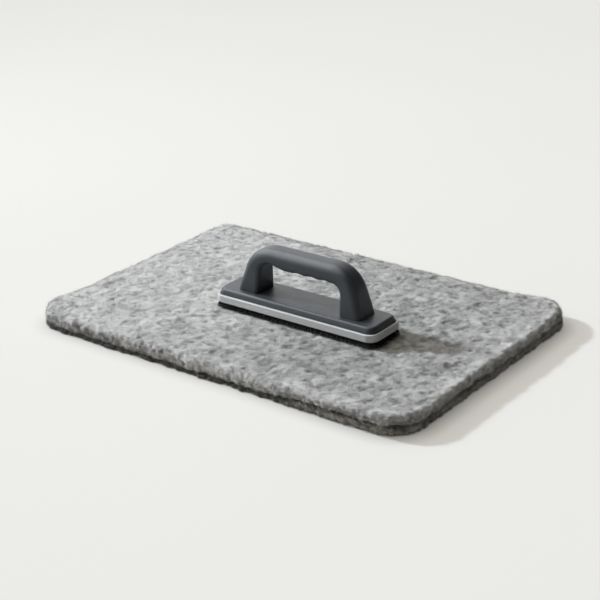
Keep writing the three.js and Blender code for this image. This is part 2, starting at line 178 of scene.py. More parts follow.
# Bristles
TUFT_PITCH = 2.8 * MM
TUFT_ROOT_RADIUS = 1.1 * MM
TUFT_TIP_RADIUS = 1.4 * MM
INNER_FILAMENTS = 8
OUTER_FILAMENTS = 22
FILAMENT_RADIUS = 0.16 * MM
FILAMENT_SIDES = 3
FILAMENT_LEVELS = 3
FILAMENT_BEND = 1.6
FILAMENT_TIP_SHARE = 0.7
BRISTLE_CORNER_RADIUS = 8 * MM
BRISTLE_MARGIN = 0.4 * MM
BRISTLE_SEED = 21
BACKING_THICKNESS = 0.8 * MM
TIP_UNEVENNESS = 2.0 * MM
TIP_SCATTER = 0.6 * MM
TIP_FLARE = 0.5 * MM
FLARE_SHARPNESS = 4

# Colours: dark, middle and light wool, then the plastics and metals
UPPER_WOOL = [(0.2, 0.199, 0.196), (0.525, 0.52, 0.515), (0.765, 0.76, 0.752)]
LOWER_WOOL = [(0.105, 0.097, 0.085), (0.442, 0.424, 0.39), (0.675, 0.653, 0.61)]
WOOL_TONES = (0.05, 0.5, 0.95)
BODY_COLOUR = (0.045, 0.052, 0.061)
BLOCK_COLOUR = (0.015, 0.015, 0.016)
TRIM_COLOUR = (0.6, 0.61, 0.62)
ZINC_COLOURS = ((0.44, 0.45, 0.46), (0.6, 0.61, 0.6))
WEB_COLOURS = ((0.5, 0.46, 0.38), (0.74, 0.7, 0.61))
FILAMENT_COLOURS = ((0.004, 0.004, 0.0045), (0.024, 0.024, 0.025))

# Shading of the solids
MERGE_DISTANCE = 0.002 * MM
SHARP_ANGLE = math.radians(32)

# Camera, as solved from the picture's own perspective, for a square frame
CAMERA_PLACE = Vector((0.83837, -1.06044, 0.60387))
CAMERA_YAW = math.radians(38.35)
CAMERA_PITCH = math.radians(23.19)
CAMERA_ROLL = math.radians(2.19)
FRAME_PIXELS = 600
FOCAL_PIXELS = 1468.36
SENSOR_WIDTH = 36

# Light
KEY_ELEVATION = math.radians(29.3)
KEY_TURN = math.radians(10)
KEY_WIDTH = math.radians(4)
KEY_DISTANCE = 3
KEY_STRENGTH = 3.2
KEY_COLOUR = (0.88, 0.94, 1.0)
SIDE_LIGHT_PLACE = Vector((-0.95, 0.0, 1.1))
SIDE_LIGHT_SIZE = 0.9
SIDE_LIGHT_POWER = 4.5
SHINE_PLACE = Vector((-0.8, -0.3, 1.05))
SHINE_SIZE = 1.8
SHINE_POWER = 56
BACK_SHINE_PLACE = Vector((-0.9, 1.15, 0.7))
BACK_SHINE_SIZE = 1.5
BACK_SHINE_POWER = 6.5
ROOM_COLOUR = (1.0, 0.945, 0.81)
ROOM_STRENGTH = 0.58
ROOM_DARK_SIDE = Vector((1.0, 0.0, 0.0))
ROOM_DARK_SHARE = 0.03
ROOM_FADE = (-0.45, 0.4)
BACKGROUND_WHITE = 0.95
FLOOR_COLOUR = (0.505, 0.505, 0.505)
FLOOR_GLOW = (0.42, 0.407, 0.38)
GLOW_REACH = 20 * MM
GLOW_FALL = 0.8
FLOOR_SIZE = 40

# The map that strands are laid out in for baking their colours: each strand's strip, as shares of its cell
STRAND_MAP = "OFBake"
STRIP_ACROSS = (0.2, 0.8)
STRIP_ALONG = (0.1, 0.9)
CELL_RATIO = 3


@dataclass
class Ply:
    """One layer of felt, the wool on it, and its place in the frame."""

    node: str
    slot: str
    spacing: float
    top_run: float
    bottom_run: float
    grow: float
    right_trim: float
    lump_rise: float
    tuft_rise: float
    edge_share: float
    pit_depth: float
    locks: int
    lock_length: tuple
    lock_rise: float
    hairs: int
    hair_length: tuple
    top_pile: float
    seed: int


UPPER = Ply(
    node="top_felt",
    slot="upper_felt",
    spacing=1.8 * MM,
    top_run=5 * MM,
    bottom_run=3.5 * MM,
    grow=-0.5 * MM,
    right_trim=0.3 * MM,
    lump_rise=1.0 * MM,
    tuft_rise=0.4 * MM,
    edge_share=1.5,
    pit_depth=0.8 * MM,
    locks=7500,
    lock_length=(5 * MM, 11 * MM),
    lock_rise=0.6 * MM,
    hairs=60_000,
    hair_length=(0.9 * MM, 3.2 * MM),
    top_pile=1.0,
    seed=3,
)
LOWER = Ply(
    node="bottom_felt",
    slot="lower_felt",
    spacing=2.2 * MM,
    top_run=3.5 * MM,
    bottom_run=4 * MM,
    grow=0.7 * MM,
    right_trim=3.0 * MM,
    lump_rise=0.6 * MM,
    tuft_rise=0.6 * MM,
    edge_share=0.8,
    pit_depth=0.8 * MM,
    locks=4200,
    lock_length=(4 * MM, 8 * MM),
    lock_rise=0.7 * MM,
    hairs=28_000,
    hair_length=(0.8 * MM, 2.6 * MM),
    top_pile=0.0,
    seed=8,
)


# Noise


def fractal(points, size, seed, octaves=3):
    """Soft noise round zero, with lumps of about that size."""
    shift = Vector((seed * 7.31, seed * 3.77, seed * 5.13))
    return np.array([noise.fractal(Vector(p) / size + shift, 1.0, 2.0, octaves) for p in points])


def cell_crowns(points, size, seed):
    """1 on the crown of each tuft and 0 in the creases between tufts."""
    shift = Vector((seed * 4.19, seed * 6.83, seed * 2.57))
    nearest = np.array([noise.voronoi(Vector(p) / size + shift)[0][:2] for p in points])
    return np.minimum((nearest[:, 1] - nearest[:, 0]) / CREASE_SHARE, 1)


def smooth_step(low, high, value):
    share = np.clip((value - low) / (high - low), 0, 1)
    return share * share * (3 - 2 * share)


# Meshes


def new_piece(name, points, faces, finish, body):
    """A smooth-shaded mesh object that rides on a body and takes the given finish."""
    mesh = bpy.data.meshes.new(name)
    mesh.from_pydata(points.tolist(), [], faces.tolist())
    mesh.shade_smooth()
    mesh.materials.append(finish)
    piece = bpy.data.objects.new(name, mesh)
    bpy.context.scene.collection.objects.link(piece)
    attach(piece, body)
    return piece


def set_tone(piece, tone):
    """Stores how light the wool is at each point, from 0 to 1, painted light and shade included."""
    layer = piece.data.attributes.new("tone", "FLOAT", "POINT")
    layer.data.foreach_set("value", np.clip(tone, 0, 1).astype(np.float32))


def unit(vectors):
    return vectors / np.maximum(np.linalg.norm(vectors, axis=-1, keepdims=True), 1e-12)


# Felt


def rounded_grid(half, radius, counts):
    """Rows of points that fill a rounded rectangle: the rows bend round its corners."""
    x, y = np.meshgrid(*[np.linspace(-h, h, n) for h, n in zip(half, counts)], indexing="ij")
    over_x = np.abs(x) - (half[0] - radius)
    over_y = np.abs(y) - (half[1] - radius)
    in_corner = (over_x > 0) & (over_y > 0)
    reach = np.maximum(over_x, over_y)
    ratio = np.minimum(over_x, over_y) / np.where(in_corner, reach, 1)
    angle = np.where(over_x >= over_y, ratio, 2 - ratio) * math.pi / 4
    x = np.where(in_corner, np.sign(x) * (half[0] - radius + reach * np.cos(angle)), x)
    y = np.where(in_corner, np.sign(y) * (half[1] - radius + reach * np.sin(angle)), y)
    return np.stack([x.ravel(), y.ravel()], 1)


def grid_counts(half, spacing):
    return [round(2 * h / spacing) + 1 for h in half[:2]]


def grid_rim(columns, rows):
    """Indices of a grid's outer points, once round and counter-clockwise from above."""
    at = np.arange(columns * rows).reshape(columns, rows)
    return np.concatenate([at[:-1, 0], at[-1, :-1], at[:0:-1, -1], at[0, :0:-1]])


def grid_faces(columns, rows):
    at = np.arange(columns * rows).reshape(columns, rows)
    corners = [at[:-1, :-1], at[1:, :-1], at[1:, 1:], at[:-1, 1:]]
    return np.stack([c.ravel() for c in corners], 1)


def ply_box(ply):
    """The ply's own box: the solid's, trimmed on the right."""
    low, high = (np.array(corner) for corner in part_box(ply.node))
    high[0] -= ply.right_trim
    return low, high


def ply_half(half, run, turns, counts):
    """One flat side of a ply and the rings of its rounding: points, directions and edge shares."""
    flat_half = half[:2] - run
    radius = CORNER_RADIUS - run
    flat = rounded_grid(flat_half, radius, counts)
    rim = flat[grid_rim(*counts)]
    outward = unit(rim - np.clip(rim, radius - flat_half, flat_half - radius))
    up = np.sign(turns.sum())
    level = np.full((len(flat), 1), up * half[2])
    layers = [(flat, level, np.tile([0.0, 0.0, up], (len(flat), 1)), 0.0)]
    for turn in np.abs(turns):
        out, rise = (side**EDGE_SQUARENESS for side in (math.cos(turn), math.sin(turn)))
        lean, lift = (side ** (2 - EDGE_SQUARENESS) for side in (math.cos(turn), math.sin(turn)))
        height = np.full((len(rim), 1), up * half[2] * rise)
        slope = np.full((len(rim), 1), up * lift / half[2])
        direction = unit(np.hstack([outward * lean / run, slope]))
        layers.append((rim + outward * run * out, height, direction, out))
    if up < 0:
        layers.append(layers.pop(0))
    points = np.vstack([np.hstack([plan, height]) for plan, height, _, _ in layers])
    directions = np.vstack([direction for _, _, direction, _ in layers])
    edge = np.concatenate([np.full(len(plan), share) for plan, _, _, share in layers])
    return points, directions, edge


def ply_form(ply):
    """The ply's smooth form: points, outward directions, quads, and 0 on the flats to 1 on the rim."""
    low, high = ply_box(ply)
    half = (high - low) / 2 + [ply.grow, ply.grow, 0]
    counts = grid_counts(half, ply.spacing)
    turns = np.linspace(0, math.pi / 2, EDGE_RINGS + 1)[:-1]
    top = ply_half(half, ply.top_run, turns[::-1], counts)
    bottom = ply_half(half, ply.bottom_run, -turns[1:], counts)
    points, directions, edge = (np.concatenate(pair) for pair in zip(top, bottom))
    return points + (low + high) / 2, directions, ply_faces(counts), edge


def ply_faces(counts):
    """Quads of the top, of the rings round the edge, and of the underside."""
    top = grid_faces(*counts)
    rim = grid_rim(*counts)
    count = counts[0] * counts[1]
    ring_count = 2 * EDGE_RINGS - 1
    rings = [count + k * len(rim) + np.arange(len(rim)) for k in range(ring_count)]
    below = count + ring_count * len(rim)
    layers = [rim, *rings, rim + below]
    bands = [
        np.stack([a, b, np.roll(b, -1), np.roll(a, -1)], 1) for a, b in zip(layers, layers[1:])
    ]
    return np.vstack([top, *bands, top[:, ::-1] + below])


def by_height(points, depths):
    """From the first depth at the seam and below it to the second one at the mat's top."""
    low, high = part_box("top_felt")
    return np.interp(points[:, 2], [low.z, high.z], depths)


def tuck(points, corner):
    """Draws the outline in round one corner, as on a mat that was cut by hand."""
    away = points[:, :2] - np.array(corner)
    share = np.exp(-np.sum(away**2, 1) / TUCK_REACH**2)
    inward = -unit(np.array(corner))
    points[:, :2] += inward * (by_height(points, BACK_RIGHT_TUCK) * share)[:, None]


def along_back(points, reach):
    """1 along the back edge but for its right end, and 1 along the left one but for its front end."""
    low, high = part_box("top_felt")
    back = smooth_step(reach, 0, high.y - points[:, 1]) * smooth_step(*BACK_ENDS, points[:, 0])
    left = smooth_step(reach, 0, points[:, 0] - low.x) * smooth_step(*LEFT_ENDS, points[:, 1])
    return back, left


def draw_in(points):
    """Draws the back and left sides in between their corners, the top more than the seam."""
    low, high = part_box("top_felt")
    pull = by_height(points, BACK_PULL)
    back, left = along_back(points, PULL_REACH)
    for corner in ((low.x, high.y), (high.x, high.y)):
        away = np.sum((points[:, :2] - corner) ** 2, 1)
        between = 1 - np.exp(-away / PULL_CORNER**2)
        back, left = back * between, left * between
    points[:, 0] += pull * left
    points[:, 1] -= pull * back


def shaped_outline(ply, points, edge):
    """The smooth form with a hand-cut mat's outline: its back and left sides drawn in and rounded down,
    one corner tucked in, and its front edge pressed down on the left and swollen on the right.
    """
    _, high = ply_box(ply)
    fall = np.maximum(*along_back(points, BACK_REACH))
    outline = fractal(points * [1, 1, 0], WANDER_SIZE, ply.seed, 2) * OUTLINE_WANDER
    points[:, :2] += unit(points[:, :2]) * (outline * smooth_step(0, OUTLINE_EDGE, edge))[:, None]
    draw_in(points)
    tuck(points, high[:2])
    near = near_front(points)
    front = along_droop(points)
    if ply is UPPER:
        points[:, 2] -= fall * by_height(points, BACK_DROOP)
        points[:, 2] -= front * by_height(points, FRONT_DROOP)
        points[:, 1] -= FRONT_SWELL * (near - front)
    else:
        points[:, 2] *= 1 - FRONT_SQUASH * front
        points[:, 1] += FRONT_TUCK * front
    return points


def near_front(points):
    """1 along the front edge, and 0 away from it."""
    return smooth_step(FRONT_REACH, 0, points[:, 1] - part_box("top_felt")[0].y)


def along_droop(points):
    """1 where the front edge is pressed down, and 0 at its right end and away from it."""
    return near_front(points) * smooth_step(*DROOP_ENDS[::-1], points[:, 0])


def rim_share(points):
    """1 on the soft bead that runs round the mat's top just inside its edge, and 0 away from it."""
    low, high = ply_box(UPPER)
    over = np.abs(points[:, :2] - (low + high)[:2] / 2) - ((high - low)[:2] / 2 - CORNER_RADIUS)
    outside = np.linalg.norm(np.maximum(over, 0), axis=1)
    inset = CORNER_RADIUS - outside - np.minimum(np.max(over, axis=1), 0)
    return np.exp(-(((inset - RIM_INSET) / RIM_WIDTH) ** 2))


def press_down(points, slope=PRESS_SLOPE):
    """Keeps the wool under the bristle tips, and lets it rise again away from them."""
    low, high = (np.array(corner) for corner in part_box("bristles"))
    gap = np.maximum(low[:2] - points[..., :2], points[..., :2] - high[:2])
    away = np.linalg.norm(np.maximum(gap, 0), axis=-1)
    points[..., 2] = np.minimum(points[..., 2], low[2] - PRESS_DEPTH + slope * away)


def wool_pits(points, seed):
    """1 in the small pits between tufts of wool, and 0 elsewhere."""
    return smooth_step(*PIT_RANGE, fractal(points, PIT_SIZE, seed + 5, 2))


def wool_tone_and_painted_light(ply, points, upward):
    """How light the wool is: its own streaky patches, with painted light towards the left and on the rim's
    bead, and painted shade in pits, towards the seam, and on the sides, underside and foot.
    """
    along = points[:, 0]
    patches = PATCH_CONTRAST * fractal(points, PATCH_SIZE, ply.seed)
    streaks = TOP_STREAKS + SIDE_STREAKS * smooth_step(*SIDE_FACING, np.abs(upward))
    streaks *= fractal(points, NAP_SIZE, ply.seed + 1)
    # painted pool of light on up-facing wool towards the mat's left
    painted_left_light = LEFT_PAINTED_LIGHT * smooth_step(*LEFT_PAINTED_LIGHT_ENDS, along)
    painted_left_light *= smooth_step(*LEFT_PAINTED_LIGHT_FACING, upward)
    # painted shade in the pits between tufts
    pits = PIT_PAINTED_SHADE * wool_pits(points, ply.seed)
    away = upward if ply is UPPER else -upward
    # painted shade towards the seam between the plies
    painted_seam_shade = SEAM_PAINTED_SHADE * smooth_step(*SEAM_FACING, away)
    if ply is UPPER:
        # painted highlight on the rim's bead
        rim = RIM_PAINTED_HIGHLIGHT * rim_share(points) * smooth_step(*RIM_HIGHLIGHT_FACING, upward)
        rim *= smooth_step(*RIM_HIGHLIGHT_ENDS, along)
        # painted shade on the upper ply's sides, more on the pressed-down front and towards the right end
        side = np.interp(along, DROOP_PAINTED_SHADE_ENDS, DROOP_PAINTED_SHADE) * along_droop(points)
        side += SIDE_PAINTED_SHADE + RIGHT_PAINTED_SHADE * smooth_step(*RIGHT_ENDS, along)
        rim -= side * smooth_step(*SIDE_FACING, upward)
        # painted shade on the upper ply's underside
        rim -= UNDERSIDE_PAINTED_SHADE * smooth_step(*UNDERSIDE_FACING, upward)
    else:
        # painted shade under the pressed-down front, and painted contact shadow at the foot
        rim = -FRONT_PAINTED_SHADE * along_droop(points)
        rim -= FOOT_PAINTED_SHADE * smooth_step(*FOOT_HEIGHTS, points[:, 2])
    return MIDDLE_TONE + patches + streaks + painted_left_light + rim - pits - painted_seam_shade


def felt_piece(ply, finish):
    """The ply itself, a lumpy closed form of matted wool: its points, directions, faces and edge shares."""
    points, directions, faces, edge = ply_form(ply)
    bead = RIM_RISE * rim_share(points) * (directions[:, 2] > 0) * (ply is UPPER)
    bead *= 1 - np.maximum(*along_back(points, BACK_REACH))
    points = shaped_outline(ply, points, edge)
    warp = np.stack([fractal(points, TUFT_SIZE, ply.seed + k, 2) for k in range(3)], 1)
    crowns = cell_crowns(points + TUFT_WARP * warp, TUFT_SIZE, ply.seed) - CROWN_LEVEL
    pits = wool_pits(points, ply.seed)
    lumps = fractal(points, LUMP_SIZE, ply.seed)
    nap = fractal(points, NAP_SIZE, ply.seed)
    height = ply.lump_rise * lumps - ply.pit_depth * pits + NAP_RISE * nap + bead
    height += ply.tuft_rise * (1 + ply.edge_share * edge) * crowns
    fluff = FLUFF_RISE + DROOP_FLUFF * along_droop(points)
    height += fluff * edge * fractal(points, FLUFF_SIZE, ply.seed + 4, 2)
    on_table = directions[:, 2] < -FLAT_FACING
    points += directions * np.where(on_table, np.minimum(height, 0), height)[:, None]
    press_down(points)
    points[:, 2] = np.maximum(points[:, 2], TABLE_GAP)
    piece = new_piece(f"{ply.node}_wool", points, faces, finish, "mat")
    # painted light on the tufts' crowns and painted shade in their creases
    set_tone(piece, wool_tone_and_painted_light(ply, points, directions[:, 2]) + CROWN_PAINTED_LIGHT_AND_SHADE * crowns)
    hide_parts(ply.node)
    return points, directions, faces, edge


# Strands of wool


def comb(tree, roots, headings, turns, steps):
    """Walks over the felt from each root, turning as it goes, and notes the way and its normals."""
    path = np.empty((len(roots), LOCK_STEPS + 1, 3))
    normals = np.empty_like(path)
    down = Vector((0, 0, -LOCK_HANG))
    for i, root in enumerate(roots):
        at, normal, *_ = tree.find_nearest(root)
        heading = Vector(headings[i])
        for k in range(LOCK_STEPS + 1):
            path[i, k] = at
            normals[i, k] = normal
            heading += down
            heading -= normal * heading.dot(normal)
            heading.normalize()
            heading = heading * math.cos(turns[i]) + normal.cross(heading) * math.sin(turns[i])
            at, normal, *_ = tree.find_nearest(at + heading * steps[i])
    return path, normals


def strand_pieces(name, centres, across, half_width, normals, tone, finish):
    """Flat strands as meshes: each runs along its centres, and is as wide as half_width says each way.
    Where normals of the wool below them are given, their shading leans towards these, so that many
    strands read as one soft pile.
    """
    levels = centres.shape[1]
    per_piece = LARGEST_PIECE // (2 * (levels - 1))
    pieces = math.ceil(len(centres) / per_piece)
    order = np.argsort(centres[:, 0, 0])
    for number, chosen in enumerate(np.array_split(order, pieces), 1):
        spread = across[chosen] * half_width[chosen][..., None]
        points = np.stack([centres[chosen] - spread, centres[chosen] + spread], 2)
        first = np.arange(len(chosen))[:, None] * 2 * levels + 2 * np.arange(levels - 1)
        corners = first.reshape(-1, 1) + np.array([0, 2, 3, 1])
        label = f"{name}_{number}" if pieces > 1 else name
        piece = new_piece(label, points.reshape(-1, 3), corners, finish, "mat")
        set_tone(piece, np.repeat(tone[chosen], 2 * levels))
        lay_out_strands(piece, len(chosen), levels, corners)
        if normals is not None:
            facing = unit(np.cross(np.gradient(centres[chosen], axis=1), across[chosen]))
            soft = unit(facing * (1 - STRAND_SOFTNESS) + normals[chosen] * STRAND_SOFTNESS)
            soft = np.repeat(soft.reshape(-1, 3), 2, 0)
            piece.data.normals_split_custom_set_from_vertices(soft.tolist())


def lay_out_strands(piece, count, levels, corners):
    """Gives each strand its own strip of a map, in rows."""
    columns = math.ceil(math.sqrt(count * CELL_RATIO))
    rows = math.ceil(count / columns)
    strand = np.arange(count)
    left = (strand % columns)[:, None, None] / columns
    low = (strand // columns)[:, None, None] / rows
    u = left + np.array(STRIP_ACROSS)[None, None, :] / columns
    v = low + np.linspace(*STRIP_ALONG, levels)[None, :, None] / rows
    places = np.stack(np.broadcast_arrays(u, v), -1).reshape(-1, 2)
    layer = piece.data.uv_layers.new(name=STRAND_MAP)
    layer.uv.foreach_set("vector", places[corners.ravel()].astype(np.float32).ravel())


def lock_roots(rng, ply, points, directions, edge):
    """Where locks of wool start: all over the upper ply, and only round the edge of the lower one."""
    low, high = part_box(ply.node)
    lowest = low.z + LOCK_LOWEST_SHARE * (high.z - low.z)
    seen = (points[:, 2] > lowest) & (directions[:, 2] > LOCK_LOWEST_FACING)
    weight = seen * (ply.top_pile * (directions[:, 2] > FLAT_FACING) + EDGE_LOCKS * (edge > EDGE_START))
    return rng.choice(len(points), ply.locks, p=weight / weight.sum())


def lay_on(tree, centres):
    """Drops points onto the felt: the places there and the felt's normals."""
    flat = centres.reshape(-1, 3)
    places = np.empty_like(flat)
    normals = np.empty_like(flat)
    for i, point in enumerate(flat.tolist()):
        places[i], normals[i], *_ = tree.find_nearest(point)
    return places.reshape(centres.shape), normals.reshape(centres.shape)


def wool_locks(ply, form, finish):
    """Curled locks of wool that lie on the ply and hang over its edge."""
    points, directions, faces, edge = form
    rng = np.random.default_rng(ply.seed)
    tree = BVHTree.FromPolygons(points.tolist(), faces.tolist())
    chosen = lock_roots(rng, ply, points, directions, edge)
    roots = points[chosen] + rng.uniform(-0.5, 0.5, (ply.locks, 3)) * ply.spacing
    headings = rng.normal(size=(ply.locks, 3))
    turns = rng.normal(0, LOCK_CURL, ply.locks)
    length = rng.uniform(*ply.lock_length, ply.locks)
    path, normals = comb(tree, roots, headings, turns, length / LOCK_STEPS)
    side = unit(np.cross(normals, np.gradient(path, axis=1)))
    share = np.linspace(0, 1, LOCK_STEPS + 1)
    shape = (ply.locks, LOCK_STRANDS, 1)
    offset = rng.uniform(-1, 1, shape) * LOCK_SPREAD + rng.normal(0, LOCK_SKEW, shape) * (share - 0.5)
    waves = rng.uniform(*LOCK_WAVES, shape) * share + rng.random(shape)
    offset += LOCK_WAVE * np.sin(2 * math.pi * waves)
    centres, normals = lay_on(tree, path[:, None] + side[:, None] * offset[..., None])
    arch = np.sin(math.pi * share)
    rise = ply.lock_rise * rng.uniform(*LOCK_ARCH, shape) * arch - STRAND_ROOT_DEPTH * (1 - arch)
    at_edge = 1 + FLUFF_LIFT * edge[chosen][:, None, None]
    centres += normals * (rise * at_edge)[..., None]
    centres[..., 2] = np.maximum(centres[..., 2], TABLE_GAP + STRAND_WIDTH)
    press_down(centres)
    roll = rng.normal(0, STRAND_ROLL, shape)[..., None]
    side = unit(np.cross(normals, np.gradient(centres, axis=2)))
    across = side * np.cos(roll) + normals * np.sin(roll)
    taper = STRAND_END_WIDTH + (1 - STRAND_END_WIDTH) * arch**STRAND_FULLNESS
    half_width = STRAND_WIDTH / 2 * rng.uniform(*STRAND_WIDTHS, shape) * taper
    middle = LOCK_STEPS // 2
    tone = wool_tone_and_painted_light(ply, centres[:, :, middle].reshape(-1, 3), normals[:, :, middle, 2].ravel())
    spread = LOCK_TONES[0] + LOCK_TONES[1] * np.repeat(edge[chosen], LOCK_STRANDS)
    tone += rng.normal(0, 1, len(tone)) * spread
    flat = (-1, LOCK_STEPS + 1)
    strand_pieces(
        f"{ply.node}_locks",
        centres.reshape(*flat, 3),
        across.reshape(*flat, 3),
        half_width.reshape(flat),
        normals.reshape(*flat, 3),
        tone,
        finish,
    )


def stray_hairs(ply, form, finish):
    """Single hairs that stand out of the wool and soften its outline."""
    points, directions, _, edge = form
    rng = np.random.default_rng(ply.seed + 1)
    weight = TOP_HAIRS * ply.top_pile * (edge == 0) + (edge > EDGE_START)
    weight *= directions[:, 2] > HAIR_LOWEST_FACING
    chosen = rng.choice(len(points), ply.hairs, p=weight / weight.sum())
    lean = unit(directions[chosen] + rng.normal(0, HAIR_LEAN, (ply.hairs, 3)))
    bend = unit(rng.normal(size=(ply.hairs, 3)))
    length = rng.uniform(*ply.hair_length, ply.hairs)[:, None, None]
    share = np.linspace(0, 1, HAIR_STEPS + 1)[None, :, None]
    way = lean[:, None] * share + HAIR_BEND * bend[:, None] * share**2
    centres = points[chosen][:, None] + length * way
    centres[..., 2] = np.maximum(centres[..., 2], TABLE_GAP)
    press_down(centres, HAIR_PRESS_SLOPE)
    across = np.repeat(unit(np.cross(lean, bend))[:, None], HAIR_STEPS + 1, 1)
    half_width = HAIR_WIDTH / 2 * np.repeat(1 - HAIR_TAPER * share[..., 0], ply.hairs, 0)
    tone = wool_tone_and_painted_light(ply, points[chosen], directions[chosen, 2])
    tone += rng.normal(*HAIR_TONES, ply.hairs)
    strand_pieces(f"{ply.node}_hairs", centres, across, half_width, None, tone, finish)


# Bristles


def tuft_places():
    """Roots of the tufts in rows, how far each one's tips lean out, and how many filaments it has."""
    low, high = (np.array(corner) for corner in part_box("bristles"))
    centre = (low + high)[:2] / 2
    tip_half = (high - low)[:2] / 2 - TUFT_TIP_RADIUS + TIP_FLARE
    block_low, block_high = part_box("bristle_block")
    root_half = np.array(block_high - block_low)[:2] / 2 - TUFT_ROOT_RADIUS - BRISTLE_MARGIN
    counts = grid_counts(root_half, TUFT_PITCH)
    roots = rounded_grid(root_half, BRISTLE_CORNER_RADIUS - TUFT_ROOT_RADIUS, counts)
    out = np.max(np.abs(roots) / root_half, axis=1, keepdims=True)
    lean = roots * (tip_half / root_half - 1) * out**FLARE_SHARPNESS
    filaments = np.full(len(roots), INNER_FILAMENTS)
    filaments[grid_rim(*counts)] = OUTER_FILAMENTS
    return roots + centre, lean, filaments


def filament_lines():
    """Centre lines of all filaments, from the backing down to their scattered and uneven tips."""
    low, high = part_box("bristles")
    roots, lean, filaments = tuft_places()
    rng = np.random.default_rng(BRISTLE_SEED)
    count = filaments.sum()
    angle = rng.uniform(0, 2 * math.pi, count)
    share = np.sqrt(rng.random(count))
    spot = np.stack([np.cos(angle), np.sin(angle)], 1) * share[:, None]
    start = np.repeat(roots, filaments, 0) + spot * TUFT_ROOT_RADIUS
    end = np.repeat(roots + lean, filaments, 0) + spot * TUFT_TIP_RADIUS
    end += rng.normal(0, TIP_SCATTER, end.shape)
    tip_height = low.z + TIP_UNEVENNESS * rng.random(count) ** 2
    levels = np.linspace(0, 1, FILAMENT_LEVELS)
    root_height = high.z - BACKING_THICKNESS / 2
    plan = start[:, None] + (end - start)[:, None] * (levels**FILAMENT_BEND)[None, :, None]
    height = root_height + (tip_height - root_height)[:, None] * levels
    return np.concatenate([plan, height[..., None]], 2)


def filament_tubes(centres):
    """Points and faces of a thin tapering tube round each centre line, closed at its tip."""
    count = len(centres)
    corner = np.arange(FILAMENT_SIDES) * 2 * math.pi / FILAMENT_SIDES
    ring = np.stack([np.cos(corner), np.sin(corner), np.zeros(FILAMENT_SIDES)], 1)
    radius = FILAMENT_RADIUS * np.linspace(1, FILAMENT_TIP_SHARE, FILAMENT_LEVELS)
    points = centres[:, :, None] + ring[None, None] * radius[None, :, None, None]
    first = np.arange(count * FILAMENT_LEVELS).reshape(count, FILAMENT_LEVELS) * FILAMENT_SIDES
    side = np.arange(FILAMENT_SIDES)
    after = (side + 1) % FILAMENT_SIDES
    upper = first[:, :-1, None]
    lower = first[:, 1:, None]
    quads = np.stack([upper + after, upper + side, lower + side, lower + after], -1).reshape(-1, 4)
    tips = (first[:, -1, None] + side[::-1]).reshape(-1, FILAMENT_SIDES)
    return points.reshape(-1, 3).tolist(), [*quads.tolist(), *tips.tolist()]


def backing_plate(first):
    """Points and faces of the rounded plate that the tufts are set in, numbered on from the first."""
    block_low, block_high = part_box("bristle_block")
    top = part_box("bristles")[1].z
    centre = (block_low + block_high) / 2
    half = (block_high - block_low) / 2
    counts = grid_counts(half, TUFT_PITCH)
    plan = rounded_grid(half[:2], BRISTLE_CORNER_RADIUS, counts)[grid_rim(*counts)] + centre[:2]
    points = [(*p, z) for z in (top - BACKING_THICKNESS, top) for p in plan.tolist()]
    count = len(plan)
    low_ring = [first + i for i in range(count)]
    high_ring = [first + count + i for i in range(count)]
    sides = [
        (low_ring[i], low_ring[(i + 1) % count], high_ring[(i + 1) % count], high_ring[i])
        for i in range(count)
    ]
    return points, [*sides, low_ring[::-1], high_ring]


def bristle_piece(finish):
    """The brush's tufts of filaments, and the thin backing that holds them."""
    points, faces = filament_tubes(filament_lines())
    backing, plates = backing_plate(len(points))
    mesh = bpy.data.meshes.new("bristle_tufts")
    mesh.from_pydata([*points, *backing], [], [*faces, *plates])
    mesh.materials.append(finish)
    piece = bpy.data.objects.new("bristle_tufts", mesh)
    bpy.context.scene.collection.objects.link(piece)
    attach(piece, "brush")
    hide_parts("bristles")


# Finishes


class Finish:
    """A node material: one Principled surface and short ways to feed it."""

    def __init__(self, name, **values):
        self.material = bpy.data.materials.new(name)
        self.material.use_nodes = True
        self.tree = self.material.node_tree
        self.surface = self.tree.nodes["Principled BSDF"]
        for socket, value in values.items():
            self.surface.inputs[socket.replace("_", " ")].default_value = value
        self.place = self.node("ShaderNodeTexCoord").outputs["Object"]

    def node(self, kind, inputs=None, **settings):
        made = self.tree.nodes.new(kind)
        for key, value in settings.items():
            setattr(made, key, value)
        for socket, value in (inputs or {}).items():
            if isinstance(value, bpy.types.NodeSocket):
                self.tree.links.new(value, made.inputs[socket])
            else:
                made.inputs[socket].default_value = value
        return made

    def noise(self, size, detail=3.0, stretch=(1, 1, 1)):
        """Soft noise with lumps of about that size, longer where stretch is above 1."""
        scale = tuple(1 / s for s in stretch)
        at = self.node("ShaderNodeMapping", {"Vector": self.place, "Scale": scale})
        inputs = {"Vector": at.outputs["Vector"], "Scale": 1 / size, "Detail": detail}
        return self.node("ShaderNodeTexNoise", inputs).outputs["Fac"]

    def spread(self, value, low, high):
        """The noise's middle range stretched over low to high."""
        inputs = {"Value": value, "From Min": 0.3, "From Max": 0.7, "To Min": low, "To Max": high}
        return self.node("ShaderNodeMapRange", inputs).outputs["Result"]

    def ramp(self, value, stops):
        """A colour for each value, through the stops' colours."""
        made = self.node("ShaderNodeValToRGB", {"Fac": value})
        steps = made.color_ramp.elements
        while len(steps) < len(stops):
            steps.new(0.5)
        for step, (place, colour) in zip(steps, stops):
            step.position = place
            step.color = (*colour, 1)
        return made.outputs["Color"]

    def add(self, first, second):
        return self.node("ShaderNodeMath", {0: first, 1: second}, operation="ADD").outputs[0]

    def feed(self, **links):
        for socket, value in links.items():
            self.tree.links.new(value, self.surface.inputs[socket.replace("_", " ")])

    def bump(self, height, depth, strength=1.0):
        inputs = {"Height": height, "Distance": depth, "Strength": strength}
        self.feed(Normal=self.node("ShaderNodeBump", inputs).outputs["Normal"])


def tint(colour, factor):
    return tuple(channel * factor for channel in colour)


